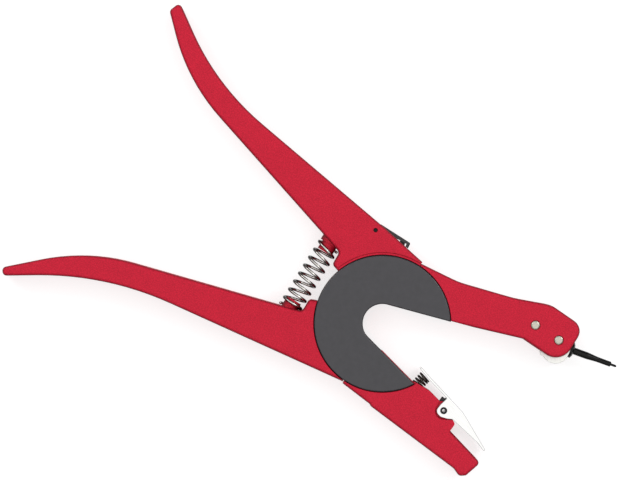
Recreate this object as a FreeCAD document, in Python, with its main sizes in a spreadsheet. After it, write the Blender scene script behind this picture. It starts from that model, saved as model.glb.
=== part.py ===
import FreeCAD, Part
import math
import os
import Sketcher

# Ear tag applicator: a pair of hand pliers whose two arms turn about a point
# in the open throat.  Each arm has a C-shaped web that slides on the other
# between two C-shaped plastic covers, so an ear can reach right to the centre.
# Millimetres.  The origin is the turning centre on the back face, +X runs out
# of the throat between the jaws, +Y is the side of the pin jaw, +Z the front.

Vec = FreeCAD.Vector

doc = FreeCAD.newDocument("ear_tag_applicator")
sheet = doc.addObject("Spreadsheet::Sheet", "Sizes")

SIZES = [
    # whole tool
    ("arm_thickness", 17.0),
    ("edge_round", 1.6),
    ("closing_angle", 30.0),
    # hub and covers
    ("cover_radius", 33.6),
    ("cover_thickness", 3.0),
    ("cover_round", 0.8),
    ("throat_radius", 9.6),
    ("throat_angle", 15.1),
    ("hub_gap", 0.3),
    ("slide_gap", 0.15),
    ("journal_wall", 3.0),
    ("rib_radius", 20.0),
    ("rib_width", 4.0),
    ("rib_height", 2.5),
    ("stop_face_angle", 86.6),
    ("stop_gap_angle", 0.6),
    ("spine_span", 73.2),
    ("pin_handle_foot", 265.8),
    # cover screws
    ("boss_circle", 28.0),
    ("boss_radius", 2.6),
    ("screw_radius", 1.5),
    ("screw_head_radius", 2.75),
    ("screw_head_height", 1.7),
    # handles
    ("handle_length", 129.0),
    ("grip_length", 45.0),
    ("tip_round", 2.0),
    # handle spring
    ("spring_radius", 5.8),
    ("spring_wire", 1.4),
    ("spring_turns", 8.0),
    ("spigot_length", 4.5),
    # pin jaw and swivelling pin
    ("jaw_reach", 86.2),
    ("swivel_x", 78.8),
    ("swivel_y", 36.6),
    ("rivet_radius", 1.6),
    ("rivet_head_radius", 2.1),
    ("rivet_pitch", 13.6),
    ("cheek_thickness", 4.3),
    ("washer_thickness", 0.35),
    ("pin_rest_angle", 10.2),
    ("pin_offset", 2.4),
    ("pin_reach", 31.7),
    ("pin_root_radius", 1.75),
    ("pin_shank_radius", 1.3),
    ("pin_tip_radius", 0.6),
    ("collar_radius", 4.0),
    ("collar_thickness", 1.9),
    # tag clip
    ("clip_pivot_x", 47.6),
    ("clip_pivot_y", -21.7),
    ("clip_pin_radius", 1.6),
    ("clip_sheet", 1.2),
    ("clip_width", 12.8),
    ("clip_lobe", 3.0),
    ("fork_width", 6.6),
    ("clip_spring_radius", 3.3),
    ("clip_spring_wire", 0.9),
    ("clip_spring_turns", 3.5),
    # handle lock
    ("lever_pivot_x", -26.0),
    ("lever_pivot_y", 37.9),
    ("lever_pin_radius", 1.1),
    ("lever_width", 6.0),
    ("lever_travel", 10.0),
]

for row, (alias, value) in enumerate(SIZES, start=1):
    sheet.set(f"A{row}", alias)
    sheet.set(f"B{row}", str(value))
    sheet.setAlias(f"B{row}", alias)
doc.recompute()


class Sizes:
    """Reads a cell of the sheet by its alias."""

    def __getattr__(self, alias):
        return float(sheet.get(alias))


S = Sizes()

# ---------------------------------------------------------------- levels

thick = S.arm_thickness
mid = thick / 2
cover_low = S.cover_thickness
cover_high = thick - S.cover_thickness
web_split = cover_low + (cover_high - cover_low) / 2
rim = S.cover_radius + S.hub_gap
web_rim = S.cover_radius - 0.1
journal = S.throat_radius + 0.4 + S.journal_wall

clip_handle_start = S.stop_face_angle + S.stop_gap_angle
clip_handle_end = clip_handle_start + S.spine_span
pin_handle_start = clip_handle_end + S.closing_angle + S.stop_gap_angle
clip_jaw_start = S.pin_handle_foot + 2 * S.stop_gap_angle


# ---------------------------------------------------------------- helpers

def polar(radius, degrees, centre=(0.0, 0.0)):
    """The point at a radius and an angle from a centre."""
    turn = math.radians(degrees)
    return (centre[0] + radius * math.cos(turn), centre[1] + radius * math.sin(turn))


def turned(point, degrees, centre=(0.0, 0.0)):
    """A point turned about a centre."""
    turn = math.radians(degrees)
    dx, dy = point[0] - centre[0], point[1] - centre[1]
    return (centre[0] + dx * math.cos(turn) - dy * math.sin(turn),
            centre[1] + dx * math.sin(turn) + dy * math.cos(turn))


def flat(point):
    return Vec(point[0], point[1], 0)


def body(name):
    made = doc.addObject("PartDesign::Body", name)
    made.Label = name
    return made


def origin_plane(owner, role):
    return next(f for f in owner.Origin.OriginFeatures if f.Role == role)


def sketch(owner, name, level="0", role="XY_Plane"):
    """A sketch on one of the body's own planes, lifted to a level given as an expression."""
    made = owner.newObject("Sketcher::SketchObject", name)
    made.AttachmentSupport = [(origin_plane(owner, role), "")]
    made.MapMode = "FlatFace"
    made.setExpression("AttachmentOffset.Base.z", level)
    return made


def add_sector(target, inner, outer, start, end):
    """A ring sector about the origin; inner and outer are expressions, start and end degrees."""
    low, high = value_of(inner), value_of(outer)
    a0, a1 = math.radians(start), math.radians(end)
    centre, normal = Vec(0, 0, 0), Vec(0, 0, 1)
    small = target.addGeometry(Part.ArcOfCircle(Part.Circle(centre, normal, low), a0, a1))
    large = target.addGeometry(Part.ArcOfCircle(Part.Circle(centre, normal, high), a0, a1))
    for angle, corner in ((start, 1), (end, 2)):
        side = target.addGeometry(Part.LineSegment(flat(polar(low, angle)), flat(polar(high, angle))))
        target.addConstraint(Sketcher.Constraint("Coincident", side, 1, small, corner))
        target.addConstraint(Sketcher.Constraint("Coincident", side, 2, large, corner))
    for arc, expression in ((small, inner), (large, outer)):
        target.addConstraint(Sketcher.Constraint("Coincident", arc, 3, -1, 1))
        number = target.addConstraint(Sketcher.Constraint("Radius", arc, value_of(expression)))
        target.setExpression(f"Constraints[{number}]", expression)


def add_circle(target, centre, radius):
    """A circle at a point; radius is an expression."""
    ring = target.addGeometry(Part.Circle(flat(centre), Vec(0, 0, 1), value_of(radius)))
    number = target.addConstraint(Sketcher.Constraint("Radius", ring, value_of(radius)))
    target.setExpression(f"Constraints[{number}]", radius)
    return ring


def value_of(expression):
    """The number that an expression on the sheet's aliases stands for."""
    return float(sheet.evalExpression(expression))


def rounded(corners, closed=True):
    """Lines and tangent arcs through corners given as (x, y) or (x, y, radius)."""
    count = len(corners)
    entries, leaves = [], []
    for i, corner in enumerate(corners):
        here = Vec(corner[0], corner[1], 0)
        radius = corner[2] if len(corner) > 2 else 0
        inner = closed or 0 < i < count - 1
        if not (radius and inner):
            entries.append(here)
            leaves.append(here)
            continue
        before = corners[i - 1]
        after = corners[(i + 1) % count]
        back = (Vec(before[0], before[1], 0) - here).normalize()
        ahead = (Vec(after[0], after[1], 0) - here).normalize()
        half_turn = (math.pi - back.getAngle(ahead)) / 2
        reach = radius * math.tan(half_turn)
        entries.append(here + back * reach)
        leaves.append(here + ahead * reach)
    pieces = []
    for i in range(count):
        if (leaves[i] - entries[i]).Length > 1e-6:
            here = Vec(corners[i][0], corners[i][1], 0)
            chord = (entries[i] + leaves[i]) * 0.5
            radius = corners[i][2]
            half_chord = (leaves[i] - entries[i]).Length / 2
            sagitta = radius - math.sqrt(max(radius ** 2 - half_chord ** 2, 0))
            middle = chord + (here - chord).normalize() * sagitta
            pieces.append(Part.Arc(entries[i], middle, leaves[i]))
        if i < count - 1 or closed:
            following = entries[(i + 1) % count]
            if (following - leaves[i]).Length > 1e-6:
                pieces.append(Part.LineSegment(leaves[i], following))
    return pieces


def add_outline(target, pieces):
    """Adds a chain of curves and ties each end to the next start."""
    numbers = [target.addGeometry(piece) for piece in pieces]
    return numbers


def inner_arc(radius, start, end):
    """An arc about the origin that closes an outline on its hub side."""
    return Part.ArcOfCircle(Part.Circle(Vec(0, 0, 0), Vec(0, 0, 1), radius),
                            math.radians(start), math.radians(end))


def pad(owner, profile, length):
    made = owner.newObject("PartDesign::Pad", f"{profile.Name}_pad")
    made.Profile = profile
    made.setExpression("Length", length)
    doc.recompute()
    return made


def pocket(owner, profile, length):
    """Cuts down from the profile's level."""
    made = owner.newObject("PartDesign::Pocket", f"{profile.Name}_cut")
    made.Profile = profile
    made.setExpression("Length", length)
    doc.recompute()
    return made


def round_edges(owner, base, chosen, radius, name):
    """Fillets the edges of a feature that a test picks."""
    names = [f"Edge{i}" for i, edge in enumerate(base.Shape.Edges, start=1) if chosen(edge)]
    made = owner.newObject("PartDesign::Fillet", name)
    made.Base = (base, names)
    made.setExpression("Radius", radius)
    doc.recompute()
    return made


def middle_of(edge):
    return edge.valueAt((edge.FirstParameter + edge.LastParameter) / 2)


def outside_hub(edge):
    """Outline edges on the front and back faces, away from the covers."""
    box = edge.BoundBox
    level = box.ZMax - box.ZMin < 0.01
    on_face = abs(box.ZMax) < 0.01 or abs(box.ZMax - thick) < 0.01
    spot = middle_of(edge)
    under_clip = 20 < spot.x < clip_pivot[0] + 8.5 and clip_pivot[1] - 6 < spot.y < 0
    return level and on_face and not under_clip and math.hypot(spot.x, spot.y) > rim + 0.9


def throat_outline(grow, reach):
    """The throat: round at the turning centre and opening out to +X."""
    radius = S.throat_radius + grow
    low = polar(radius, -90 - S.throat_angle)
    high = polar(radius, 90 + S.throat_angle)
    along = (math.cos(math.radians(S.throat_angle)), math.sin(math.radians(S.throat_angle)))
    far_high = (high[0] + reach * along[0], high[1] + reach * along[1])
    far_low = (low[0] + reach * along[0], low[1] - reach * along[1])
    return [
        Part.Arc(flat(high), Vec(-radius, 0, 0), flat(low)),
        Part.LineSegment(flat(low), flat(far_low)),
        Part.LineSegment(flat(far_low), flat(far_high)),
        Part.LineSegment(flat(far_high), flat(high)),
    ]


def coil(name, foot, head, outer, wire, turns):
    """A round-wire spring from a foot point to a head point, both on its axis."""
    axis = head - foot
    height = axis.Length - wire
    centre_radius = outer - wire / 2
    path = Part.makeHelix(height / turns, height, centre_radius)
    ring = Part.Wire(Part.makeCircle(wire / 2, Vec(centre_radius, 0, 0), Vec(0, 1, 0)))
    shape = Part.Wire(path.Edges).makePipeShell([ring], True, True)
    made = doc.addObject("Part::Feature", name)
    made.Label = name
    made.Shape = shape
    start = foot + axis.normalize() * (wire / 2)
    made.Placement = FreeCAD.Placement(start, FreeCAD.Rotation(Vec(0, 0, 1), axis))
    return made


# ---------------------------------------------------------------- shared places

swivel = (S.swivel_x, S.swivel_y)
rear = (S.swivel_x - S.rivet_pitch, S.swivel_y + 0.6)
clip_pivot = (S.clip_pivot_x, S.clip_pivot_y)
lever_pivot = (S.lever_pivot_x, S.lever_pivot_y)
boss_spots = [polar(S.boss_circle, 62), polar(S.boss_circle, 130), polar(S.boss_circle, 220)]
slot_bosses = (130, 220)
spring_foot = (-(rim + 9.3), -16.6)
spring_head = (-(rim + 8.1), 20.6)
spring_lean = math.degrees(math.atan2(spring_foot[0] - spring_head[0], spring_head[1] - spring_foot[1]))
clip_spring_foot = (30.3, -18.0)
clip_spring_head = (31.7, -11.75)
lock_angles = (106.0, 106.0 + S.closing_angle)


def spigot(owner, name, foot, direction, radius, length, kind="Additive"):
    """A round stub or a round cut from a foot point along a direction in the XY plane."""
    made = owner.newObject(f"PartDesign::{kind}Cylinder", name)
    made.setExpression("Radius", radius)
    made.setExpression("Height", length)
    made.Placement = FreeCAD.Placement(Vec(foot[0], foot[1], mid),
                                       FreeCAD.Rotation(Vec(0, 0, 1), Vec(direction[0], direction[1], 0)))
    doc.recompute()
    return made


# ---------------------------------------------------------------- pin arm

def build_pin_arm():
    """The lower handle, the back web and the clevis jaw that carries the pin: one casting."""
    arm = body("pin_arm")
    reach = S.jaw_reach
    top = S.swivel_y + 12.6
    bend = S.handle_length
    grip = S.grip_length
    bore = S.throat_radius + 0.4 + S.journal_wall / 2
    throat_corner = S.throat_angle + math.degrees(math.asin(S.throat_radius / rim))

    plate = sketch(arm, "pin_plate", "0")
    path = rounded([
        polar(bore, 50),
        polar(rim, throat_corner),
        (reach - 22.7, S.swivel_y - 8.2, 3.0),
        (reach - 0.3, S.swivel_y - 9.8, 8.5),
        (reach + 0.2, top - 1.0, 6.0),
        (reach - 19.2, top + 0.5, 12.0),
        (reach - 36.0, top - 5.6, 60.0),
        (22.0, rim + 2.6, 40.0),
        polar(rim + 1.2, S.stop_face_angle),
        polar(rim - 8, S.stop_face_angle),
        polar(rim - 8, pin_handle_start),
        polar(rim + 0.6, pin_handle_start),
        (-(rim + 3.0), -7.8, 2.0),
        (-(rim + 3.0), spring_foot[1] + 1.9, 2.4),
        (-(bend + 14.0), -41.7, 95.0),
        (-(bend + grip + 1.0), -70.3, S.tip_round),
        (-(bend + grip - 1.5), -73.6, S.tip_round),
        (-bend, -47.5, 155.0),
        polar(rim + 0.5, S.pin_handle_foot),
        polar(bore, S.pin_handle_foot),
    ], closed=False)
    add_outline(plate, path + [inner_arc(bore, 50, S.pin_handle_foot)])
    pad(arm, plate, "Sizes.arm_thickness")
    round_edges(arm, arm.Tip, outside_hub, "Sizes.edge_round", "pin_arm_rounding")

    for name, level in (("front", "Sizes.arm_thickness"), ("back", "Sizes.cover_thickness")):
        recess = sketch(arm, f"pin_recess_{name}", level)
        add_circle(recess, (0, 0), "Sizes.cover_radius + Sizes.hub_gap")
        pocket(arm, recess, "Sizes.cover_thickness")
    sweep = sketch(arm, "pin_sweep_room", "Sizes.arm_thickness - Sizes.cover_thickness")
    add_sector(sweep, "Sizes.throat_radius / 2", "Sizes.cover_radius + Sizes.hub_gap", S.stop_face_angle, 375)
    pocket(arm, sweep, "(Sizes.arm_thickness / 2 - Sizes.cover_thickness) + Sizes.slide_gap / 2")

    web = sketch(arm, "pin_web", "Sizes.cover_thickness")
    add_sector(web, "Sizes.throat_radius + 0.4", "Sizes.cover_radius - 0.1", 20, S.pin_handle_foot)
    pad(arm, web, "(Sizes.arm_thickness / 2 - Sizes.cover_thickness) - Sizes.slide_gap / 2")
    wall = sketch(arm, "pin_journal", "Sizes.cover_thickness")
    add_sector(wall, "Sizes.throat_radius + 0.4", "Sizes.throat_radius + 0.4 + Sizes.journal_wall", 20, 340)
    pad(arm, wall, "Sizes.arm_thickness - 2 * Sizes.cover_thickness")
    root = sketch(arm, "pin_jaw_root", "Sizes.cover_thickness")
    add_sector(root, "Sizes.throat_radius + 0.4", "Sizes.cover_radius + 0.5", 20, S.stop_face_angle)
    pad(arm, root, "Sizes.arm_thickness - 2 * Sizes.cover_thickness")

    rib = sketch(arm, "pin_rib", "Sizes.arm_thickness / 2 - Sizes.slide_gap")
    add_sector(rib, "Sizes.rib_radius - Sizes.rib_width / 2", "Sizes.rib_radius + Sizes.rib_width / 2", 100, 250)
    pad(arm, rib, "Sizes.rib_height")

    lean = (-math.sin(math.radians(spring_lean)), math.cos(math.radians(spring_lean)))
    spigot(arm, "pin_spring_seat", spring_foot, lean, "Sizes.spring_radius + 0.3", "8", "Subtractive")
    start = (spring_foot[0] - lean[0] * 2, spring_foot[1] - lean[1] * 2)
    spigot(arm, "pin_spigot", start, lean, "Sizes.spring_radius - Sizes.spring_wire - 0.4",
           "Sizes.spigot_length + 2")

    mouth = sketch(arm, "pin_throat", "Sizes.arm_thickness + 1")
    add_outline(mouth, throat_outline(0.4, 60))
    pocket(arm, mouth, "Sizes.arm_thickness + 2")

    clevis = sketch(arm, "pin_clevis", "Sizes.arm_thickness - Sizes.cheek_thickness")
    ceiling = S.swivel_y + 9.1
    add_outline(clevis, rounded([
        (rear[0] - 3.0, 0), (reach + 5, 0), (reach + 5, ceiling), (rear[0] - 3.0, ceiling, 2.5)]))
    pocket(arm, clevis, "Sizes.arm_thickness - 2 * Sizes.cheek_thickness")

    bores = sketch(arm, "pin_rivet_bores", "Sizes.arm_thickness + 1")
    for spot in (swivel, rear):
        add_circle(bores, spot, "Sizes.rivet_radius + 0.02")
    pocket(arm, bores, "Sizes.arm_thickness + 2")
    for name, level in (("front", "Sizes.arm_thickness + 1"), ("back", "1")):
        sink = sketch(arm, f"pin_rivet_sink_{name}", level)
        for spot in (swivel, rear):
            add_circle(sink, spot, "Sizes.rivet_head_radius + 0.4")
        pocket(arm, sink, "2" if name == "front" else "2")

    screws = sketch(arm, "pin_screw_holes", "Sizes.arm_thickness")
    for spot in boss_spots:
        add_circle(screws, spot, "Sizes.screw_radius + 0.15")
    pocket(arm, screws, "Sizes.arm_thickness")
    seat = sketch(arm, "pin_boss_seat", "Sizes.arm_thickness")
    add_circle(seat, boss_spots[0], "Sizes.boss_radius + 0.15")
    pocket(arm, seat, "Sizes.arm_thickness / 2 + Sizes.slide_gap / 2")

    notches = sketch(arm, "pin_lock_notches", "Sizes.arm_thickness / 2")
    for angle in lock_angles:
        add_outline(notches, rounded([
            turned((rim - 3.2, -2.6), angle, (0, 0)), turned((rim + 1, -2.6), angle, (0, 0)),
            turned((rim + 1, 2.6), angle, (0, 0)), turned((rim - 3.2, 2.6), angle, (0, 0))]))
    pocket(arm, notches, "Sizes.arm_thickness / 2 - Sizes.cover_thickness - 1")
    return arm


# ---------------------------------------------------------------- clip arm

def build_clip_arm():
    """The upper handle, the front web and the jaw that carries the tag clip: one casting."""
    arm = body("clip_arm")
    bend = S.handle_length
    grip = S.grip_length
    lip = clip_pivot
    bore = journal + S.hub_gap
    web_low = "Sizes.arm_thickness / 2 + Sizes.slide_gap / 2"
    web_height = "Sizes.arm_thickness / 2 - Sizes.cover_thickness - 1.5 * Sizes.slide_gap"
    web_bore = "Sizes.throat_radius + 0.4 + Sizes.journal_wall + Sizes.hub_gap"
    throat_end = 360 - S.throat_angle - math.degrees(math.asin((S.throat_radius - 0.3) / rim))

    plate = sketch(arm, "clip_plate", "0")
    path = rounded([
        polar(bore, clip_handle_start),
        polar(rim + 2.1, clip_handle_start),
        (-22.0, rim + 7.1, 60.0),
        (-bend, rim + 26.0, 128.0),
        (-(bend + grip - 8.8), rim + 52.0, S.tip_round),
        (-(bend + grip - 6.4), rim + 46.0, S.tip_round),
        (-(bend + 13.5), 54.5, 96.0),
        (-(rim + 1.8), spring_head[1] - 1.0, 2.4),
        (-(rim + 1.8), 12.6, 2.0),
        polar(rim + 0.2, clip_handle_end),
        polar(rim - 8, clip_handle_end),
        polar(rim - 8, clip_jaw_start),
        polar(rim + 1.3, clip_jaw_start),
        (14.5, -(rim + 3.3)),
        (15.6, -(rim + 4.0)),
        (66.0, -(rim + 9.8), 4.0),
        (70.2, -(rim + 11.7), 2.2),
        (73.0, -(rim + 9.7)),
        (76.0, -(rim + 0.9), 2.0),
        (55.2, -28.7),
        (55.6, -24.5, 1.6),
        (lip[0] + 4.2, lip[1] - 0.5),
        (lip[0] + 4.2, lip[1] + 3.6, 3.4),
        (lip[0] - 3.2, lip[1] + 3.9, 2.6),
        (lip[0] - 3.8, lip[1] + 3.0),
        (37.0, -16.8, 8.0),
        (25.0, -16.6),
        polar(bore, -50),
    ], closed=False)
    add_outline(plate, path + [inner_arc(bore, clip_handle_start, 310)])
    pad(arm, plate, "Sizes.arm_thickness")
    round_edges(arm, arm.Tip, outside_hub, "Sizes.edge_round", "clip_arm_rounding")

    for name, level in (("front", "Sizes.arm_thickness"),
                        ("back", "Sizes.cover_thickness + Sizes.slide_gap")):
        recess = sketch(arm, f"clip_recess_{name}", level)
        add_circle(recess, (0, 0), "Sizes.cover_radius + Sizes.hub_gap")
        pocket(arm, recess, "Sizes.cover_thickness + Sizes.slide_gap")
    sweep = sketch(arm, "clip_sweep_room", web_low)
    add_sector(sweep, "Sizes.throat_radius / 2", "Sizes.cover_radius + Sizes.hub_gap", 0, clip_jaw_start)
    pocket(arm, sweep, "Sizes.arm_thickness / 2 - Sizes.cover_thickness - Sizes.slide_gap / 2")

    web = sketch(arm, "clip_web", web_low)
    add_sector(web, web_bore, "Sizes.cover_radius - 0.1", clip_handle_start, throat_end)
    pad(arm, web, web_height)
    root = sketch(arm, "clip_jaw_root", "Sizes.cover_thickness + Sizes.slide_gap")
    add_sector(root, web_bore, "Sizes.cover_radius + 0.5", clip_jaw_start, throat_end)
    pad(arm, root, "Sizes.arm_thickness - 2 * Sizes.cover_thickness - 2 * Sizes.slide_gap")

    lean = (math.sin(math.radians(spring_lean)), -math.cos(math.radians(spring_lean)))
    spigot(arm, "clip_spring_pad_room", spring_head, lean, "Sizes.spring_radius + 0.3", "8", "Subtractive")
    start = (spring_head[0] - lean[0] * 4, spring_head[1] - lean[1] * 4)
    spigot(arm, "clip_spring_pad", start, lean, "Sizes.spring_radius - Sizes.spring_wire / 2", "4")
    spigot(arm, "clip_spigot", start, lean, "Sizes.spring_radius - Sizes.spring_wire - 0.4",
           "Sizes.spigot_length + 4")

    mouth = sketch(arm, "clip_throat", "Sizes.arm_thickness + 1")
    add_outline(mouth, throat_outline(-0.3, 31.5))
    pocket(arm, mouth, "Sizes.arm_thickness + 2")

    groove = sketch(arm, "clip_groove", "Sizes.arm_thickness / 2 + Sizes.rib_height + Sizes.slide_gap")
    add_sector(groove, "Sizes.rib_radius - Sizes.rib_width / 2 - Sizes.hub_gap",
               "Sizes.rib_radius + Sizes.rib_width / 2 + Sizes.hub_gap", 60, 253)
    pocket(arm, groove, "Sizes.rib_height + Sizes.slide_gap")

    slots = sketch(arm, "clip_boss_slots", "Sizes.arm_thickness")
    wide = S.boss_radius + 0.4
    for angle in slot_bosses:
        first, last = angle - S.closing_angle - 1, angle + 1
        ring = [Part.ArcOfCircle(Part.Circle(Vec(0, 0, 0), Vec(0, 0, 1), S.boss_circle + side * wide),
                                 math.radians(first), math.radians(last)) for side in (-1, 1)]
        ends = []
        for end_angle, outward in ((first, -1), (last, 1)):
            spot = polar(S.boss_circle, end_angle)
            ends.append(Part.Arc(flat(polar(S.boss_circle - wide, end_angle)),
                                 flat(polar(wide, end_angle + outward * 90, spot)),
                                 flat(polar(S.boss_circle + wide, end_angle))))
        add_outline(slots, ring + ends)
    pocket(arm, slots, "Sizes.arm_thickness")

    line = sketch(arm, "clip_ledge_line", "Sizes.arm_thickness")
    add_sector(line, "Sizes.cover_radius + 1.0", "Sizes.cover_radius + 1.5",
               clip_handle_start - 2, clip_handle_end + 2)
    pocket(arm, line, "0.6")

    for name, level in (("front", "Sizes.arm_thickness"),
                        ("back", "(Sizes.arm_thickness - Sizes.clip_width) / 2 + Sizes.clip_sheet + 0.1")):
        side = sketch(arm, f"clip_wing_room_{name}", level)
        swing = S.clip_lobe + 1.4
        left = (lip[0] - swing, lip[1])
        right = polar(swing, -60, lip)
        corner = (right[0] + 4.0, right[1] + 2.0)
        chain = [left, (left[0], lip[1] + 12), (corner[0] + 4, lip[1] + 12), corner, right]
        add_outline(side, [Part.LineSegment(flat(a), flat(b)) for a, b in zip(chain, chain[1:])]
                    + [Part.Arc(flat(right), flat(polar(swing, -120, lip)), flat(left))])
        pocket(arm, side, "(Sizes.arm_thickness - Sizes.clip_width) / 2 + Sizes.clip_sheet + 0.1")
    bore = sketch(arm, "clip_pin_bore", "Sizes.arm_thickness")
    add_circle(bore, clip_pivot, "Sizes.clip_pin_radius")
    pocket(arm, bore, "Sizes.arm_thickness")

    relief = sketch(arm, "clip_pin_relief", "Sizes.arm_thickness / 2 + Sizes.fork_width / 2")
    add_outline(relief, rounded([(59.5, -25.0), (59.5, -36.0, 2.0), (71.0, -37.5, 2.0), (71.0, -25.0)]))
    pocket(arm, relief, "Sizes.fork_width")

    aim = Vec(clip_spring_head[0] - clip_spring_foot[0], clip_spring_head[1] - clip_spring_foot[1], 0)
    spigot(arm, "clip_spring_seat", clip_spring_foot, aim, "Sizes.clip_spring_radius + 0.3", "6", "Subtractive")

    room = sketch(arm, "clip_lever_room", "Sizes.arm_thickness / 2 + Sizes.lever_width / 2 + 0.3")
    add_outline(room, rounded([
        (lever_pivot[0] - 4.2, 60), (lever_pivot[0] - 4.2, lever_pivot[1] - 3.4, 1.5),
        (-6.0, rim + 1.9, 1.0), (-6.0, 60)]))
    pocket(arm, room, "Sizes.lever_width + 0.6")
    tooth_room = sketch(arm, "clip_tooth_room", "Sizes.arm_thickness / 2 - Sizes.slide_gap")
    add_outline(tooth_room, rounded([
        turned((rim - 1, -2.2), lock_angles[0]), turned((rim + 6, -2.2), lock_angles[0]),
        turned((rim + 6, 3.2), lock_angles[0]), turned((rim - 1, 3.2), lock_angles[0])]))
    pocket(arm, tooth_room, "3.2")
    pin_bore = sketch(arm, "clip_lever_bore", "Sizes.arm_thickness")
    add_circle(pin_bore, lever_pivot, "Sizes.lever_pin_radius")
    pocket(arm, pin_bore, "Sizes.arm_thickness")
    return arm


# ---------------------------------------------------------------- covers and screws

def add_cover_outline(target):
    """The cover: a disc with the throat cut out of it."""
    radius = S.throat_radius
    corner = S.throat_angle + math.degrees(math.asin(radius / S.cover_radius))
    high = polar(radius, 90 + S.throat_angle)
    low = polar(radius, -90 - S.throat_angle)
    add_outline(target, [
        Part.ArcOfCircle(Part.Circle(Vec(0, 0, 0), Vec(0, 0, 1), S.cover_radius),
                         math.radians(corner), math.radians(360 - corner)),
        Part.LineSegment(flat(polar(S.cover_radius, -corner)), flat(low)),
        Part.Arc(flat(low), Vec(-radius, 0, 0), flat(high)),
        Part.LineSegment(flat(high), flat(polar(S.cover_radius, corner))),
    ])


def build_front_cover():
    """Plain outside; three bosses inside take the screws that come from the back."""
    cover = body("front_cover")
    disc = sketch(cover, "front_disc", "Sizes.arm_thickness - Sizes.cover_thickness")
    add_cover_outline(disc)
    plate = pad(cover, disc, "Sizes.cover_thickness")
    round_edges(cover, plate, lambda edge: edge.BoundBox.ZMin > thick - 0.01, "Sizes.cover_round", "front_rounding")
    bosses = sketch(cover, "front_bosses", "Sizes.arm_thickness / 2 - Sizes.slide_gap / 2")
    for spot in boss_spots:
        add_circle(bosses, spot, "Sizes.boss_radius")
    pad(cover, bosses, "Sizes.arm_thickness / 2 - Sizes.cover_thickness + Sizes.slide_gap / 2 + 0.5")
    pilots = sketch(cover, "front_pilots", "Sizes.arm_thickness - 1.6")
    for spot in boss_spots:
        add_circle(pilots, spot, "Sizes.screw_radius")
    pocket(cover, pilots, "Sizes.arm_thickness / 2")
    return cover


def build_back_cover():
    cover = body("back_cover")
    disc = sketch(cover, "back_disc", "0")
    add_cover_outline(disc)
    plate = pad(cover, disc, "Sizes.cover_thickness")
    round_edges(cover, plate, lambda edge: edge.BoundBox.ZMax < 0.01, "Sizes.cover_round", "back_rounding")
    holes = sketch(cover, "back_holes", "Sizes.cover_thickness")
    for spot in boss_spots:
        add_circle(holes, spot, "Sizes.screw_radius + 0.15")
    pocket(cover, holes, "Sizes.cover_thickness")
    sinks = sketch(cover, "back_sinks", "Sizes.screw_head_height + 0.2")
    for spot in boss_spots:
        add_circle(sinks, spot, "Sizes.screw_head_radius + 0.25")
    pocket(cover, sinks, "Sizes.screw_head_height + 0.2")
    return cover


def build_cover_screws():
    """Three pan-head screws with hexagon sockets."""
    head_low = 0.2
    head_high = head_low + S.screw_head_height
    solids = []
    for spot in boss_spots:
        head = Part.makeCylinder(S.screw_head_radius, S.screw_head_height, Vec(spot[0], spot[1], head_low))
        head = head.makeFillet(0.5, [edge for edge in head.Edges
                                     if edge.BoundBox.ZMax < head_low + 0.01])
        shank = Part.makeCylinder(S.screw_radius, thick - 1.8 - head_high, Vec(spot[0], spot[1], head_high))
        corners = [Vec(*polar(1.25, 60 * i, spot), head_low) for i in range(7)]
        socket = Part.Face(Part.makePolygon(corners)).extrude(Vec(0, 0, 1.0))
        solids.append(head.fuse(shank).removeSplitter().cut(socket))
    made = doc.addObject("Part::Feature", "cover_screws")
    made.Label = "cover_screws"
    made.Shape = Part.makeCompound(solids)
    return made


# ---------------------------------------------------------------- rivets, washers and bush

def revolve_about_z(name, spot, corners):
    """A solid of revolution about an upright axis, from (radius, z) corners in a body."""
    made = body(name)
    half = sketch(made, f"{name}_profile", "0", "XZ_Plane")
    add_outline(half, [Part.LineSegment(flat(a), flat(b)) for a, b in zip(corners, corners[1:] + corners[:1])])
    turn = made.newObject("PartDesign::Revolution", f"{name}_turn")
    turn.Profile = half
    turn.ReferenceAxis = (half, ["V_Axis"])
    turn.Angle = 360
    made.Placement = FreeCAD.Placement(Vec(spot[0], spot[1], 0), FreeCAD.Rotation())
    doc.recompute()
    return made


def build_rivet(name, spot):
    """A solid rivet with a low countersunk head at each face."""
    head, shank = S.rivet_head_radius, S.rivet_radius
    return revolve_about_z(name, spot, [
        (0, 0.15), (head - 0.5, 0.15), (head, 0.4), (head, 1.0), (shank, 1.0),
        (shank, thick - 1.0), (head, thick - 1.0), (head, thick - 0.4), (head - 0.5, thick - 0.15),
        (0, thick - 0.15)])


def build_swivel_washers():
    """Two thin friction washers, one each side of the pin block."""
    solids = []
    low = S.cheek_thickness + 0.03
    high = thick - S.cheek_thickness - 0.03 - S.washer_thickness
    for level in (low, high):
        disc = Part.makeCylinder(4.4, S.washer_thickness, Vec(swivel[0], swivel[1], level))
        hole = Part.makeCylinder(S.rivet_radius + 0.05, S.washer_thickness, Vec(swivel[0], swivel[1], level))
        solids.append(disc.cut(hole))
    made = doc.addObject("Part::Feature", "swivel_washers")
    made.Label = "swivel_washers"
    made.Shape = Part.makeCompound(solids)
    return made


block_low = S.cheek_thickness + S.washer_thickness + 0.08
block_high = thick - block_low


def build_swivel_bush():
    inner, outer = S.rivet_radius + 0.03, S.rivet_radius + 1.0
    return revolve_about_z("swivel_bush", swivel, [
        (inner, block_low), (outer, block_low), (outer, block_high), (inner, block_high)])


# ---------------------------------------------------------------- swivelling pin

def on_pin(along, across=0.0):
    """A point given along the pin and to its left, measured from the swivel."""
    moved = (swivel[0] + along, swivel[1] + across)
    return turned(moved, S.pin_rest_angle, swivel)


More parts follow.
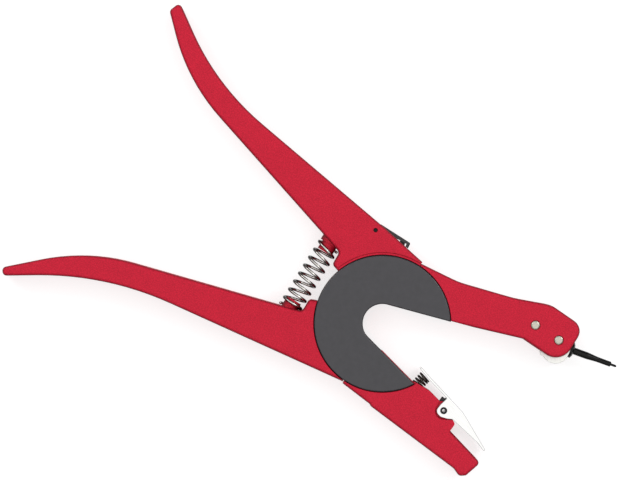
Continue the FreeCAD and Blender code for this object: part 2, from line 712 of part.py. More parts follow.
def build_pin_block():
    """The cast block that turns between the cheeks and holds the pin off to one side."""
    block = body("pin_block")
    side = sketch(block, "block_side", "Sizes.cheek_thickness + Sizes.washer_thickness + 0.08")
    lobe = (0.6, -5.1)
    lobe_radius = 6.6
    face = 7.3
    corners = [
        on_pin(face, S.collar_radius - S.pin_offset),
        on_pin(face - 2.0, 3.4), on_pin(2.0, 5.0), on_pin(-4.2, 4.4), on_pin(-6.0, 0.0),
        on_pin(-8.55, -5.4), on_pin(-5.2, -9.9),
    ]
    lobe_left = on_pin(lobe[0] + lobe_radius * math.cos(math.radians(228)),
                       lobe[1] + lobe_radius * math.sin(math.radians(228)))
    lobe_right = on_pin(lobe[0] + lobe_radius, lobe[1])
    lobe_low = on_pin(lobe[0], lobe[1] - lobe_radius)
    path = [on_pin(face, lobe[1] + 0.4)] + corners
    pieces = rounded([p if i != 5 else p + (0.8,) for i, p in enumerate(corners)] , closed=False)
    pieces = [Part.LineSegment(flat(a), flat(b)) for a, b in zip(corners, corners[1:])]
    pieces.append(Part.LineSegment(flat(corners[-1]), flat(lobe_left)))
    pieces.append(Part.Arc(flat(lobe_left), flat(lobe_low), flat(lobe_right)))
    pieces.append(Part.LineSegment(flat(lobe_right), flat(path[0])))
    pieces.append(Part.LineSegment(flat(path[0]), flat(corners[0])))
    add_outline(side, pieces)
    pad(block, side, "Sizes.arm_thickness - 2 * (Sizes.cheek_thickness + Sizes.washer_thickness + 0.08)")
    eye = sketch(block, "block_eye", "Sizes.arm_thickness")
    add_circle(eye, swivel, "Sizes.rivet_radius + 1.0")
    pocket(block, eye, "Sizes.arm_thickness")
    bore = block.newObject("PartDesign::SubtractiveCylinder", "block_pin_bore")
    bore.setExpression("Radius", "Sizes.pin_root_radius")
    bore.Height = 14.0
    start = on_pin(-3.4, -S.pin_offset - 1.2)
    aim = on_pin(1.0)
    axis = Vec(aim[0] - swivel[0], aim[1] - swivel[1], 0)
    start = on_pin(pin_seat, -S.pin_offset)
    bore.Placement = FreeCAD.Placement(Vec(start[0], start[1], mid), FreeCAD.Rotation(Vec(0, 0, 1), axis))
    doc.recompute()
    return block


pin_seat = 3.4


def turned_on_pin(name, corners):
    """A solid of revolution about the pin's axis, from (distance along, radius) corners."""
    made = body(name)
    half = sketch(made, f"{name}_profile", "0", "XY_Plane")
    add_outline(half, [Part.LineSegment(flat(a), flat(b)) for a, b in zip(corners, corners[1:] + corners[:1])])
    turn = made.newObject("PartDesign::Revolution", f"{name}_turn")
    turn.Profile = half
    turn.ReferenceAxis = (half, ["H_Axis"])
    turn.Angle = 360
    start = on_pin(0, -S.pin_offset)
    made.Placement = FreeCAD.Placement(Vec(start[0], start[1], mid),
                                       FreeCAD.Rotation(Vec(0, 0, 1), S.pin_rest_angle))
    doc.recompute()
    return made


def build_applicator_pin():
    root, shank, tip = S.pin_root_radius, S.pin_shank_radius, S.pin_tip_radius
    reach = S.pin_reach
    return turned_on_pin("applicator_pin", [
        (pin_seat, 0), (pin_seat, root), (reach - 15.4, root), (reach - 10.0, shank),
        (reach - 3.1, shank), (reach - 2.7, tip), (reach - 0.4, tip), (reach, tip - 0.35), (reach, 0)])


def build_pin_collar():
    low = 7.35
    inner, outer = S.pin_root_radius + 0.03, S.collar_radius
    high = low + S.collar_thickness
    return turned_on_pin("pin_collar", [
        (low, inner), (low, outer), (high - 0.7, outer), (high, outer - 1.1), (high, inner)])


# ---------------------------------------------------------------- tag clip

def build_tag_clip():
    """A pressed channel: a plate over the jaw, two wings that hang on the pivot pin and a forked nose."""
    clip = body("tag_clip")
    profile = sketch(clip, "clip_profile", "(Sizes.arm_thickness - Sizes.clip_width) / 2")
    lobe = S.clip_lobe
    x0, y0 = clip_pivot
    gap = S.clip_sheet
    add_outline(profile, rounded([
        (27.3, -8.7, 0.4),
        (35.0, -11.3, 6.0),
        (56.3, -17.6, 9.0),
        (75.0, -28.1, 0.5),
        (74.6, -29.0, 0.3),
        (70.0, -27.0, 3.0),
        (53.4, -23.2, 0.6),
        (x0 + 3.4, y0 - 2.6, 2.0),
        (x0 + 0.2, y0 - lobe - 0.4, 2.2),
        (x0 - lobe - 0.4, y0 - 2.4, 2.4),
        (x0 - lobe + 0.2, y0 + 2.0, 2.0),
        (46.0, -14.5 - gap),
        (35.0, -11.3 - gap * 1.04, 6.0),
        (27.3, -8.7 - gap, 0.3),
    ]))
    pad(clip, profile, "Sizes.clip_width")
    channel = sketch(clip, "clip_channel", "(Sizes.arm_thickness + Sizes.clip_width) / 2 - Sizes.clip_sheet")
    add_outline(channel, rounded([
        (40.0, -12.8 - gap * 1.04),
        (55.9, -17.55 - gap * 1.04, 8.0),
        (73.2, -27.1 - gap * 1.14),
        (71.0, -34.0),
        (40.0, -34.0)]))
    pocket(clip, channel, "Sizes.clip_width - 2 * Sizes.clip_sheet")
    fork = sketch(clip, "clip_fork", "Sizes.arm_thickness / 2 + Sizes.fork_width / 2")
    add_outline(fork, rounded([(62.5, -10.0), (62.5, -40.0), (80.0, -40.0), (80.0, -10.0)]))
    pocket(clip, fork, "Sizes.fork_width")
    eye = sketch(clip, "clip_eye", "Sizes.arm_thickness")
    add_circle(eye, clip_pivot, "Sizes.clip_pin_radius + 0.05")
    pocket(clip, eye, "Sizes.arm_thickness")
    return clip


def build_clip_pivot_pin():
    """A rolled spring pin, hollow right through."""
    low = (thick - S.clip_width) / 2 - 0.2
    outer = S.clip_pin_radius
    inner = outer * 0.5
    return revolve_about_z("clip_pivot_pin", clip_pivot, [
        (inner, low), (outer - 0.2, low), (outer, low + 0.2),
        (outer, thick - low - 0.2), (outer - 0.2, thick - low), (inner, thick - low)])


def build_clip_buffer():
    """A rubber block on the jaw behind the wings that quietens the clip."""
    pad_body = body("clip_buffer")
    side = sketch(pad_body, "buffer_side", "(Sizes.arm_thickness - Sizes.clip_width) / 2 + Sizes.clip_sheet + 0.3")
    x0, y0 = clip_pivot
    add_outline(side, rounded([
        (x0 - 3.8, y0 + 3.0), (x0 - 3.2, y0 + 3.9), (x0 - 1.2, y0 + 3.9), (x0 - 1.4, y0 + 5.2, 0.4),
        (x0 - 3.5, y0 + 5.5, 0.4)]))
    pad(pad_body, side, "Sizes.clip_width - 2 * Sizes.clip_sheet - 0.6")
    return pad_body


# ---------------------------------------------------------------- handle lock

def build_lock_lever():
    """A thumb lever in the spine whose tooth drops into a notch of the other arm's web."""
    lever = body("lock_lever")
    side = sketch(lever, "lever_side", "Sizes.arm_thickness / 2 - Sizes.lever_width / 2")
    x0, y0 = lever_pivot
    add_outline(side, rounded([
        (x0 - 2.6, y0 - 2.4, 2.2), (x0 + 2.4, y0 - 2.4, 1.5), (x0 + 5.0, y0 + 1.6, 1.0),
        (-9.2, y0 + 1.9), (-9.0, y0 + 0.5), (-7.6, y0 + 0.4), (-7.8, y0 + 3.2, 0.8),
        (x0 + 1.0, y0 + 3.9, 2.0), (x0 - 2.8, y0 + 2.2, 2.0)]))
    pad(lever, side, "Sizes.lever_width")
    tooth = sketch(lever, "lever_tooth", "Sizes.arm_thickness / 2 - 3")
    base = lock_angles[0]
    add_outline(tooth, rounded([
        turned((rim + 0.6, -1.3), base), turned((rim + 7.9, -1.3), base),
        turned((rim + 7.9, 1.3), base), turned((rim + 0.6, 1.3), base)]))
    pad(lever, tooth, "2.7")
    eye = sketch(lever, "lever_eye", "Sizes.arm_thickness")
    add_circle(eye, lever_pivot, "Sizes.lever_pin_radius + 0.05")
    pocket(lever, eye, "Sizes.arm_thickness")
    return lever


def build_lock_pin():
    return revolve_about_z("lock_pin", lever_pivot, [
        (0, 0.3), (S.lever_pin_radius - 0.2, 0.3), (S.lever_pin_radius, 0.6),
        (S.lever_pin_radius, thick - 0.6), (S.lever_pin_radius - 0.2, thick - 0.3), (0, thick - 0.3)])


# ---------------------------------------------------------------- assembly

pieces = [
    build_pin_arm(),
    build_front_cover(),
    build_back_cover(),
    build_cover_screws(),
    build_rivet("swivel_rivet", swivel),
    build_rivet("rear_rivet", rear),
    build_swivel_washers(),
    build_swivel_bush(),
    build_pin_block(),
    build_applicator_pin(),
    build_pin_collar(),
    build_clip_arm(),
    build_clip_pivot_pin(),
    build_clip_buffer(),
    build_tag_clip(),
    build_lock_pin(),
    build_lock_lever(),
    coil("handle_spring", Vec(spring_foot[0], spring_foot[1] + 0.1, mid),
         Vec(spring_head[0], spring_head[1] - 0.2, mid), S.spring_radius, S.spring_wire, S.spring_turns),
    coil("lock_spring", Vec(-16.0, rim + 1.45, mid), Vec(-16.0, lever_pivot[1] + 1.65, mid), 1.6, 0.5, 4.0),
    coil("clip_spring", Vec(*clip_spring_foot, mid), Vec(*clip_spring_head, mid),
         S.clip_spring_radius, S.clip_spring_wire, S.clip_spring_turns),
]
doc.recompute()

for item in doc.Objects:
    bad = [word for word in item.State if word in ("Invalid", "Error")]
    if bad:
        raise RuntimeError(f"{item.Name} is {bad}")
for item in pieces:
    shape = item.Shape
    if shape.isNull() or not shape.isValid():
        raise RuntimeError(f"{item.Label} has no valid shape")

os.makedirs("parts", exist_ok=True)
for item in pieces:
    item.Shape.exportStep(f"parts/{item.Label}.step")
    print(item.Label, len(item.Shape.Solids), round(item.Shape.Volume, 1))
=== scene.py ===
# %% [markdown]
# # Ear tag applicator
# A hand tool that pins a two-piece plastic tag to an animal's ear. Two cast arms carry a pin on one jaw and
# a spring clip on the other. Their C-shaped webs slide on each other between two black covers, so the arms
# turn about a point that lies in the open throat. This lesson dresses the CAD model: it gives every casting
# its finish and winds the three springs as fresh meshes.

# %% Load the frame
import math

import bpy
import numpy as np
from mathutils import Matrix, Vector


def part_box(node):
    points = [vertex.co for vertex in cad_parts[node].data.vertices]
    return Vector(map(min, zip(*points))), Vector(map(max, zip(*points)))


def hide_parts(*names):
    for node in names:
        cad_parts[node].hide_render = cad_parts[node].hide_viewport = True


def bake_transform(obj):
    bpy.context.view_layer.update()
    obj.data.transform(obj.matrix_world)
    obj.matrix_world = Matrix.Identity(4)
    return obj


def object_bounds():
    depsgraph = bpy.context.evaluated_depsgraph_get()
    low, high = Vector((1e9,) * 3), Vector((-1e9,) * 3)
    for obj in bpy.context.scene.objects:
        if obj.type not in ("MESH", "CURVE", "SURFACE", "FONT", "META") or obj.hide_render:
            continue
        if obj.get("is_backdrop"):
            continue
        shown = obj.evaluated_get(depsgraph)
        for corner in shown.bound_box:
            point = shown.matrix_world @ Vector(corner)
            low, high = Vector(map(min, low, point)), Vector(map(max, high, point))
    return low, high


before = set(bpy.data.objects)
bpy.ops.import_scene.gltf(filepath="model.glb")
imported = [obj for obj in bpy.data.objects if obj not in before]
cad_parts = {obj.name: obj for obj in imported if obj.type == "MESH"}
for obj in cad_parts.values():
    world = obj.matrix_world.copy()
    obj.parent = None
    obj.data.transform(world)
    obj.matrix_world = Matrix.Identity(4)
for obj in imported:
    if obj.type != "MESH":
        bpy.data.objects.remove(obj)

cad_low, cad_high = (np.array(corner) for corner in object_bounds())
MM = 0.001
print("CAD box in mm:", (cad_low / MM).round(2), (cad_high / MM).round(2))

# %% [markdown]
# Colours are written as sRGB hex codes, as a paint card gives them. Cycles works with linear light, so one
# function turns a code into the numbers that a shader socket takes.

# %% Colour helper
def linear(code, alpha=1.0):
    """sRGB hex to linear: c / 12.92 in the dark toe, else ((c + 0.055) / 1.055) to the power 2.4."""
    channels = np.array([int(code[i:i + 2], 16) for i in (1, 3, 5)]) / 255
    curve = np.where(channels <= 0.04045, channels / 12.92, ((channels + 0.055) / 1.055) ** 2.4)
    return (*curve.tolist(), alpha)


print("signal red in linear light:", np.round(linear("#c81e34"), 3))

# %% [markdown]
# A material is a small graph of nodes. One function adds any node: it takes the node's type, its settings
# and what goes into its sockets, which is either a plain value or another node's output. Everything else
# about a finish is then just a list of such calls.

# %% Node helper
def node(tree, kind, sockets=None, **settings):
    """Adds a node, sets its properties, and fills its sockets with values or with links from outputs."""
    made = tree.nodes.new(kind)
    for name, value in settings.items():
        setattr(made, name, value)
    for name, value in (sockets or {}).items():
        if isinstance(value, bpy.types.NodeSocket):
            tree.links.new(value, made.inputs[name])
        else:
            made.inputs[name].default_value = value
    return made


def new_finish(name):
    """An empty material with a Principled shader wired to its output: (material, tree, shader)."""
    made = bpy.data.materials.new(name)
    made.use_nodes = True
    tree = made.node_tree
    tree.nodes.clear()
    shader = node(tree, "ShaderNodeBsdfPrincipled")
    node(tree, "ShaderNodeOutputMaterial", {"Surface": shader.outputs["BSDF"]})
    return made, tree, shader


def per_metre(size_mm):
    """Noise scale for features of a real size: one feature per size."""
    return 1.0 / (size_mm * MM)


def facing_up(tree, start, end):
    """0 on the flanks of a piece and 1 on its front and back, from the height of the normal on the object."""
    normal = node(tree, "ShaderNodeTexCoord").outputs["Normal"]
    height = node(tree, "ShaderNodeSeparateXYZ", {"Vector": normal}).outputs["Z"]
    either = node(tree, "ShaderNodeMath", {0: height}, operation="ABSOLUTE").outputs["Value"]
    return node(tree, "ShaderNodeMapRange", {"Value": either, "From Min": start, "From Max": end}).outputs["Result"]


def off_rim(tree, end):
    """0 on the rounded rims between flank and face, and 1 on the faces and on the upright flanks."""
    face = facing_up(tree, 0.35, end)
    flank = facing_up(tree, 0.3, 0.08)
    return node(tree, "ShaderNodeMath", {0: face, 1: flank}, operation="MAXIMUM").outputs["Value"]


def off_edge(tree, width_mm):
    """0 beside a sharp edge and 1 away from it: a bevelled normal leaves the true one only near an edge."""
    bevelled = node(tree, "ShaderNodeBevel", {"Radius": width_mm * MM}, samples=16)
    true_one = node(tree, "ShaderNodeNewGeometry")
    match = node(tree, "ShaderNodeVectorMath", {0: bevelled.outputs["Normal"], 1: true_one.outputs["Normal"]},
                 operation="DOT_PRODUCT").outputs["Value"]
    return node(tree, "ShaderNodeMapRange", {"Value": match, "From Min": 0.75, "From Max": 0.97}).outputs["Result"]


def blended(tree, factor, first, second):
    """A colour that goes from the first to the second as the factor goes from 0 to 1."""
    return node(tree, "ShaderNodeMix", {"Factor": factor, "A": first, "B": second},
                data_type="RGBA").outputs["Result"]


print("a 0.6 mm speckle needs a noise scale of", round(per_metre(0.6)))

# %% [markdown]
# ## Red powder coat
# The arms are cast aluminium under a polyester powder coat, baked at 180 degrees. The powder melts but never
# flows quite flat, so the film has orange peel about a millimetre wide, and the sand-textured grade used on
# hand tools adds a fine grit. To the eye that is an even red, broken up by tiny light and dark flecks, with a
# soft broad sheen instead of a mirror. Two noises carry it: a grit for flecks and bump, and a slow one for
# the slight cloudiness of the film's thickness. The rounded rims are painted a deeper maroon: painted shade,
# where the rims turn away from the overhead light.

# %% Red powder coat
GRIT_MM = 0.55          # flecks of the textured powder, drawn a little coarse so that they show
CLOUD_MM = 5.0          # drift in film thickness

red_coat, tree, shader = new_finish("red_powder_coat_on_cast_aluminium")
place = node(tree, "ShaderNodeTexCoord").outputs["Object"]
grit = node(tree, "ShaderNodeTexNoise", {"Vector": place, "Scale": per_metre(GRIT_MM), "Detail": 2.0,
                                         "Roughness": 0.6})
cloud = node(tree, "ShaderNodeTexNoise", {"Vector": place, "Scale": per_metre(CLOUD_MM), "Detail": 4.0,
                                          "Roughness": 0.7})
fleck = node(tree, "ShaderNodeValToRGB", {"Fac": grit.outputs["Fac"]})
fleck.color_ramp.elements[0].position = 0.36
fleck.color_ramp.elements[0].color = linear("#8f0f24")
fleck.color_ramp.elements[1].position = 0.66
fleck.color_ramp.elements[1].color = linear("#d6203c")
drift = node(tree, "ShaderNodeMix", {"Factor": cloud.outputs["Fac"], "A": linear("#a80c27"),
                                     "B": linear("#cf1833")}, data_type="RGBA")
film = node(tree, "ShaderNodeMix", {"Factor": 0.5, "A": drift.outputs["Result"], "B": fleck.outputs["Color"]},
            data_type="RGBA")
sheen = node(tree, "ShaderNodeMapRange", {"Value": grit.outputs["Fac"], "To Min": 0.42, "To Max": 0.62})
peel = node(tree, "ShaderNodeBump", {"Height": grit.outputs["Fac"], "Strength": 0.35, "Distance": 0.06 * MM})
# Painted shade: the rounded rims are mixed to a dark maroon.
red_rim_shade = blended(tree, off_rim(tree, 0.98), linear("#4f0612"), film.outputs["Result"])
tree.links.new(red_rim_shade, shader.inputs["Base Color"])
tree.links.new(sheen.outputs["Result"], shader.inputs["Roughness"])
tree.links.new(peel.outputs["Normal"], shader.inputs["Normal"])
shader.inputs["IOR"].default_value = 1.5
shader.inputs["Specular IOR Level"].default_value = 0.15
print(red_coat.name, "grit", GRIT_MM, "mm, cloud", CLOUD_MM, "mm")

# %% [markdown]
# ## Black moulded plastic
# The covers and the lock lever are moulded in glass-filled nylon. Pulled from a lightly etched steel mould,
# it comes out a dark warm grey rather than black, satin, and faintly mottled where the glass lies near the
# skin. A cell-like noise gives the etch, a slow noise the mottling.

# %% Black moulded plastic
ETCH_MM = 0.5


def moulded(name, dark, light):
    """Satin nylon: an etched skin, mottled between two tones, with painted shade on its rounded rims."""
    made, tree, shader = new_finish(name)
    place = node(tree, "ShaderNodeTexCoord").outputs["Object"]
    etch = node(tree, "ShaderNodeTexNoise", {"Vector": place, "Scale": per_metre(ETCH_MM), "Detail": 2.0})
    mottle = node(tree, "ShaderNodeTexNoise", {"Vector": place, "Scale": per_metre(3.0), "Detail": 4.0,
                                               "Roughness": 0.65})
    tone = blended(tree, mottle.outputs["Fac"], linear(dark), linear(light))
    # Painted shade: the rounded rims are mixed to near black.
    nylon_rim_shade = blended(tree, off_rim(tree, 0.97), linear("#0b0b0c"), tone)
    satin = node(tree, "ShaderNodeMapRange", {"Value": mottle.outputs["Fac"], "To Min": 0.3, "To Max": 0.46})
    grain = node(tree, "ShaderNodeBump", {"Height": etch.outputs["Fac"], "Strength": 0.25,
                                          "Distance": 0.04 * MM})
    tree.links.new(nylon_rim_shade, shader.inputs["Base Color"])
    tree.links.new(satin.outputs["Result"], shader.inputs["Roughness"])
    tree.links.new(grain.outputs["Normal"], shader.inputs["Normal"])
    shader.inputs["IOR"].default_value = 1.53
    return made


black_nylon = moulded("black_glass_filled_nylon_satin", "#201f23", "#343237")
# The lever gets a darker, blacker copy of the same nylon.
lever_nylon = moulded("black_nylon_darker", "#0d0d0e", "#171718")
print(black_nylon.name, lever_nylon.name, "etch", ETCH_MM, "mm")

# %% [markdown]
# ## Metals
# Six small parts are bare or plated metal. A metal has no colour of its own beneath the surface: what tells
# one from another is the tint of its reflection and how its surface was made. The cell below makes each from
# the same three ingredients, a tint, a roughness range and a noise whose shape follows the making: stretched
# along the rolling or drawing direction, or even in all directions where a part was tumbled or plated.

# %% Metal finishes
def metal(name, dark, light, rough, grain_mm, stretch=(1.0, 1.0, 1.0), turn=0.0, bump=0.15, edge=None):
    """A metallic finish; grain_mm is the width of its marks, stretch scales them and turn leads them.

    edge is a colour and a width in mm: painted shade that darkens the colour beside sharp edges.
    """
    made, tree, shader = new_finish(name)
    place = node(tree, "ShaderNodeTexCoord").outputs["Object"]
    laid = node(tree, "ShaderNodeMapping", {"Vector": place, "Rotation": (0.0, 0.0, math.radians(turn))})
    scaled = node(tree, "ShaderNodeMapping", {"Vector": laid.outputs["Vector"], "Scale": stretch})
    marks = node(tree, "ShaderNodeTexNoise", {"Vector": scaled.outputs["Vector"],
                                              "Scale": per_metre(grain_mm), "Detail": 3.0})
    tint = blended(tree, marks.outputs["Fac"], linear(dark), linear(light))
    if edge:
        # Painted shade: beside sharp edges the tint is mixed to the edge colour.
        tint = blended(tree, off_edge(tree, edge[1]), linear(edge[0]), tint)
    gloss = node(tree, "ShaderNodeMapRange", {"Value": marks.outputs["Fac"], "To Min": rough[0],
                                              "To Max": rough[1]})
    relief = node(tree, "ShaderNodeBump", {"Height": marks.outputs["Fac"], "Strength": bump,
                                           "Distance": 0.03 * MM})
    tree.links.new(tint, shader.inputs["Base Color"])
    tree.links.new(gloss.outputs["Result"], shader.inputs["Roughness"])
    tree.links.new(relief.outputs["Normal"], shader.inputs["Normal"])
    shader.inputs["Metallic"].default_value = 1.0
    return made


# The edge colours given below are painted shade along sharp edges.
# Zinc plate is a thin silver skin with a faint yellow from its passivation.
zinc_plate = metal("zinc_plated_steel", "#8f8b80", "#cfcabd", (0.3, 0.45), 0.6, edge=("#2e2b27", 0.45))
# Die-cast zinc, tumbled with stones to take off the flash: bright, with soft dents in every direction.
cast_zinc = metal("tumbled_die_cast_zinc", "#c2c2bd", "#ecece8", (0.3, 0.5), 1.2, bump=0.3,
                  edge=("#6b6a66", 0.5))
# Black oxide is a conversion skin kept in oil: almost black, with a wet narrow highlight.
black_oxide = metal("oiled_black_oxide_steel", "#131313", "#2b2a2a", (0.18, 0.3), 0.5)
# Bright-rolled stainless sheet keeps fine lines along the rolling direction, which is the clip's length.
stainless = metal("bright_rolled_stainless", "#cfcfcd", "#ececea", (0.14, 0.28), 0.15,
                  stretch=(0.04, 1.0, 1.0), turn=17.0, bump=0.08, edge=("#68696d", 0.85))
# Sintered bronze is pressed powder: matt, brown-gold and open-grained.
bronze = metal("sintered_bronze", "#7a5a2c", "#b08a4e", (0.4, 0.6), 0.3, bump=0.4)
print("metals:", [m.name for m in (zinc_plate, cast_zinc, black_oxide, stainless, bronze)])

# %% [markdown]
# Drawn spring wire carries its marks along its length, round every bend of the coil, so its pattern has to
# follow the wire and not the room. The coils below are given a UV map, with U along the wire and V round it,
# and this finish reads that map. The flanks of the wire are painted near black, painted shade, so only the
# crests shine.

# %% Drawn spring wire
def wire_finish(name, dark, light, rough):
    """A metallic finish whose noise is stretched along U, the length of the wire."""
    made, tree, shader = new_finish(name)
    along = node(tree, "ShaderNodeUVMap", uv_map="wire")
    scaled = node(tree, "ShaderNodeMapping", {"Vector": along.outputs["UV"], "Scale": (1.0, 14.0, 1.0)})
    draw = node(tree, "ShaderNodeTexNoise", {"Vector": scaled.outputs["Vector"], "Scale": 1.5, "Detail": 2.0})
    tint = blended(tree, draw.outputs["Fac"], linear(dark), linear(light))
    # Painted shade: the flanks of the wire, off its crests, are mixed to near black.
    wire_flank_shade = blended(tree, facing_up(tree, 0.55, 0.9), linear("#191715"), tint)
    gloss = node(tree, "ShaderNodeMapRange", {"Value": draw.outputs["Fac"], "To Min": rough[0],
                                              "To Max": rough[1]})
    tree.links.new(wire_flank_shade, shader.inputs["Base Color"])
    tree.links.new(gloss.outputs["Result"], shader.inputs["Roughness"])
    shader.inputs["Metallic"].default_value = 1.0
    return made


bright_wire = wire_finish("drawn_spring_wire_bright", "#8c8985", "#e8e5df", (0.2, 0.34))
# A darker copy of the same wire for the clip and lock springs: painted shade.
shaded_wire = wire_finish("drawn_spring_wire_shaded", "#2c2a28", "#6d6963", (0.25, 0.4))
print("wires:", bright_wire.name, shaded_wire.name)

# %% [markdown]
# The buffer behind the clip is a moulded rubber block: matt, very dark, with a faint bloom.

# %% Black rubber
rubber, tree, shader = new_finish("moulded_black_rubber")
place = node(tree, "ShaderNodeTexCoord").outputs["Object"]
bloom = node(tree, "ShaderNodeTexNoise", {"Vector": place, "Scale": per_metre(1.5), "Detail": 3.0})
tone = node(tree, "ShaderNodeMix", {"Factor": bloom.outputs["Fac"], "A": linear("#161616"),
                                    "B": linear("#2a2a29")}, data_type="RGBA")
tree.links.new(tone.outputs["Result"], shader.inputs["Base Color"])
shader.inputs["Roughness"].default_value = 0.75
print(rubber.name)

# %% [markdown]
# ## Dressing the CAD pieces
# Every casting, moulding and pin already has its true shape from CAD, so it only needs its finish. A table
# pairs each node with a material, and the loop puts it into the object's material slots.

# %% Dress the CAD nodes
finish_of = {
    "pin_arm": red_coat, "clip_arm": red_coat,
    "front_cover": black_nylon, "back_cover": black_nylon, "lock_lever": lever_nylon,
    "cover_screws": zinc_plate, "swivel_rivet": zinc_plate, "rear_rivet": zinc_plate,
    "lock_pin": black_oxide, "swivel_washers": zinc_plate,
    "swivel_bush": bronze, "pin_block": cast_zinc,
    "applicator_pin": black_oxide, "pin_collar": black_oxide, "clip_pivot_pin": black_oxide,
    "clip_buffer": rubber, "tag_clip": stainless,
}
for name, finish in finish_of.items():
    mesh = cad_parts[name].data
    mesh.materials.clear()
    mesh.materials.append(finish)
    print(f"{name:16s} {len(mesh.vertices):7d} vertices  {finish.name}")

# %% [markdown]
# ## Springs
# A spring is a round wire carried along a helix. As a surface it has two parameters: how far along the wire,
# and the angle round it. The end turns lie closer than the rest, because a compression spring is wound shut
# at its ends to sit flat, and the rise eases in and out of them.

# %% Coil surface
def coil_surface(name, foot, head, outer, wire, turns, tilts=(0.0, 0.0), start=0.0, steps=40, sides=14):
    """Wire surface P(t, v) = C(t) + r (cos v * N + sin v * B).

    C runs round an axis from foot to head, t from 0 to 1: out by the coil radius at angle 2 pi turns t, up by
    a rise that is slow in the first and last turn. Each ring leans from square by tilts, in degrees at foot
    and head. N points out from the axis, and B is the cross product of the wire's direction and N.
    """
    foot, head = np.array(foot, float), np.array(head, float)
    axis = head - foot
    height = np.linalg.norm(axis)
    axis /= height
    side = np.cross(axis, (0.0, 0.0, 1.0))
    front = np.array((0.0, 0.0, 1.0))
    count = int(turns * steps) + 1
    t = np.linspace(0.0, 1.0, count)
    shut = 0.8 / turns
    pace = np.clip(np.minimum(t, 1 - t) / shut, 0, 1)
    pace = 0.35 + 0.65 * pace * pace * (3 - 2 * pace)
    rise = np.concatenate(([0.0], np.cumsum((pace[1:] + pace[:-1]) / 2)))
    rise = wire / 2 + rise / rise[-1] * (height - wire)
    lean = np.radians(tilts[0] + (tilts[1] - tilts[0]) * t)[:, None]
    leaning = np.cos(lean) * side + np.sin(lean) * axis
    turn = (2 * np.pi * turns * t + start)[:, None]
    out = np.cos(turn) * leaning + np.sin(turn) * front
    centre = foot + np.outer(rise, axis) + (outer - wire / 2) * out
    ahead = np.gradient(centre, axis=0)
    ahead /= np.linalg.norm(ahead, axis=1, keepdims=True)
    normal = out - (out * ahead).sum(1, keepdims=True) * ahead
    normal /= np.linalg.norm(normal, axis=1, keepdims=True)
    across = np.cross(ahead, normal)
    v = np.linspace(0, 2 * np.pi, sides, endpoint=False)
    points = (centre[:, None] + wire / 2 * (np.cos(v)[None, :, None] * normal[:, None]
                                            + np.sin(v)[None, :, None] * across[:, None]))
    ring = np.arange(sides)
    row = np.arange(count - 1)[:, None] * sides
    quads = np.stack([row + ring, row + (ring + 1) % sides, row + sides + (ring + 1) % sides,
                      row + sides + ring], axis=-1).reshape(-1, 4)
    caps = [ring[::-1].tolist(), (ring + (count - 1) * sides).tolist()]
    mesh = bpy.data.meshes.new(name)
    mesh.from_pydata(points.reshape(-1, 3), [], quads.tolist() + caps)
    length = np.concatenate(([0.0], np.cumsum(np.linalg.norm(np.diff(centre, axis=0), axis=1))))
    corner_of = np.zeros(len(mesh.loops), np.int32)
    mesh.loops.foreach_get("vertex_index", corner_of)
    uv = np.stack([length[corner_of // sides] / wire, (corner_of % sides) / sides], axis=-1)
    mesh.uv_layers.new(name="wire").data.foreach_set("uv", uv.astype(np.float32).ravel())
    mesh.polygons.foreach_set("use_smooth", np.ones(len(mesh.polygons), bool))
    mesh.validate()
    made = bpy.data.objects.new(name, mesh)
    bpy.context.scene.collection.objects.link(made)
    print(f"{name}: {length[-1] / MM:.0f} mm of {wire / MM:.1f} mm wire, {len(quads)} faces")
    return made


# %% [markdown]
# The handle spring pushes the handles apart. Its seats lean with the handles, so it stands slightly bowed,
# with its turns fanned apart on the outer side.

# %% Handle spring
HANDLE_FOOT = (-43.2 * MM, -16.5 * MM, 8.5 * MM)
HANDLE_HEAD = (-42.0 * MM, 20.4 * MM, 8.5 * MM)
handle_coil = coil_surface("handle_spring_coil", HANDLE_FOOT, HANDLE_HEAD, 5.8 * MM, 1.4 * MM, 8.5,
                           tilts=(10.0, -8.0), start=math.pi)
handle_coil.data.materials.append(bright_wire)
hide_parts("handle_spring")
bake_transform(handle_coil)

# %% [markdown]
# The clip spring holds the clip's nose down on the tag; the lock spring lifts the thumb lever.

# %% Clip and lock springs
CLIP_FOOT = (30.3 * MM, -18.0 * MM, 8.5 * MM)
CLIP_HEAD = (31.7 * MM, -11.75 * MM, 8.5 * MM)
clip_coil = coil_surface("clip_spring_coil", CLIP_FOOT, CLIP_HEAD, 3.3 * MM, 0.9 * MM, 4.0,
                         tilts=(2.0, -8.0))
clip_coil.data.materials.append(shaded_wire)
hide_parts("clip_spring")
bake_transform(clip_coil)

lock_low, lock_high = (np.array(corner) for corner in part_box("lock_spring"))
LOCK_FOOT = (-16.0 * MM, lock_low[1], 8.5 * MM)
LOCK_HEAD = (-16.0 * MM, lock_high[1], 8.5 * MM)
lock_coil = coil_surface("lock_spring_coil", LOCK_FOOT, LOCK_HEAD, 1.6 * MM, 0.5 * MM, 4.0)
lock_coil.data.materials.append(shaded_wire)
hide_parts("lock_spring")
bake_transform(lock_coil)

# %% [markdown]
# ## Studio
# The tool lies flat on a white sweep and is seen from straight above through a long lens. One large soft
# light stands overhead to the upper right, a weaker one opposite lifts the shadows, and a pale sky fills in.

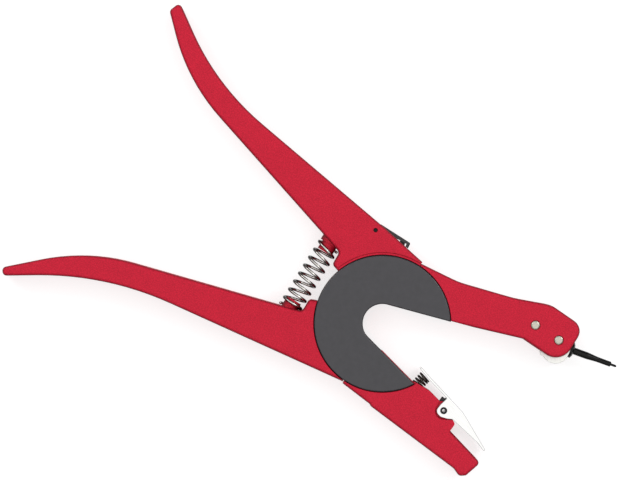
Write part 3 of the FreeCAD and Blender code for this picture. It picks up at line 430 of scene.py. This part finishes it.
# %% Floor
floor_mesh = bpy.data.meshes.new("studio_floor")
reach = 3.0
floor_mesh.from_pydata([(-reach, -reach, 0), (reach, -reach, 0), (reach, reach, 0), (-reach, reach, 0)], [],
                       [(0, 1, 2, 3)])
floor = bpy.data.objects.new("studio_floor", floor_mesh)
bpy.context.scene.collection.objects.link(floor)
floor.location.z = cad_low[2] - 0.05 * MM
paper, tree, shader = new_finish("white_paper_sweep")
shader.inputs["Base Color"].default_value = linear("#a8a8a8")
shader.inputs["Roughness"].default_value = 0.9
shader.inputs["Emission Color"].default_value = linear("#ffffff")
shader.inputs["Emission Strength"].default_value = 0.68
floor_mesh.materials.append(paper)
floor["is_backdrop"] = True

# %% Camera
VIEW_CENTRE = np.array((-51.3, 17.5, 17.0)) * MM
VIEW_WIDTH = 303.8 * MM
VIEW_ROLL = 30.3
STAND_OFF = 1.5
camera_data = bpy.data.cameras.new("camera")
camera_data.lens = camera_data.sensor_width * STAND_OFF / VIEW_WIDTH
camera = bpy.data.objects.new("camera", camera_data)
bpy.context.scene.collection.objects.link(camera)
camera.location = VIEW_CENTRE + np.array((0, 0, STAND_OFF))
camera.rotation_euler = (0.0, 0.0, math.radians(VIEW_ROLL))
camera_data.clip_end = 50.0
bpy.context.scene.camera = camera
print("lens", round(camera_data.lens, 1), "mm")

# %% Lights
def soft_light(name, energy, size, spot):
    """A square area light at a spot, turned to face the middle of the tool."""
    data = bpy.data.lights.new(name, "AREA")
    data.energy, data.size = energy, size
    made = bpy.data.objects.new(name, data)
    bpy.context.scene.collection.objects.link(made)
    made.location = spot
    made.rotation_euler = (Vector(VIEW_CENTRE) - Vector(spot)).to_track_quat("-Z", "Y").to_euler()
    return made


soft_light("overhead", 58.0, 4.0, (0.0, 0.0, 2.0))
soft_light("corner", 5.0, 0.5, (0.5, 0.9, 0.9))
soft_light("left", 4.0, 0.5, (-1.1, 0.25, 0.6))
world = bpy.data.worlds.new("studio")
world.use_nodes = True
world.node_tree.nodes["Background"].inputs["Color"].default_value = linear("#ffffff")
world.node_tree.nodes["Background"].inputs["Strength"].default_value = 0.22
bpy.context.scene.world = world
bpy.context.scene.view_settings.view_transform = "Standard"
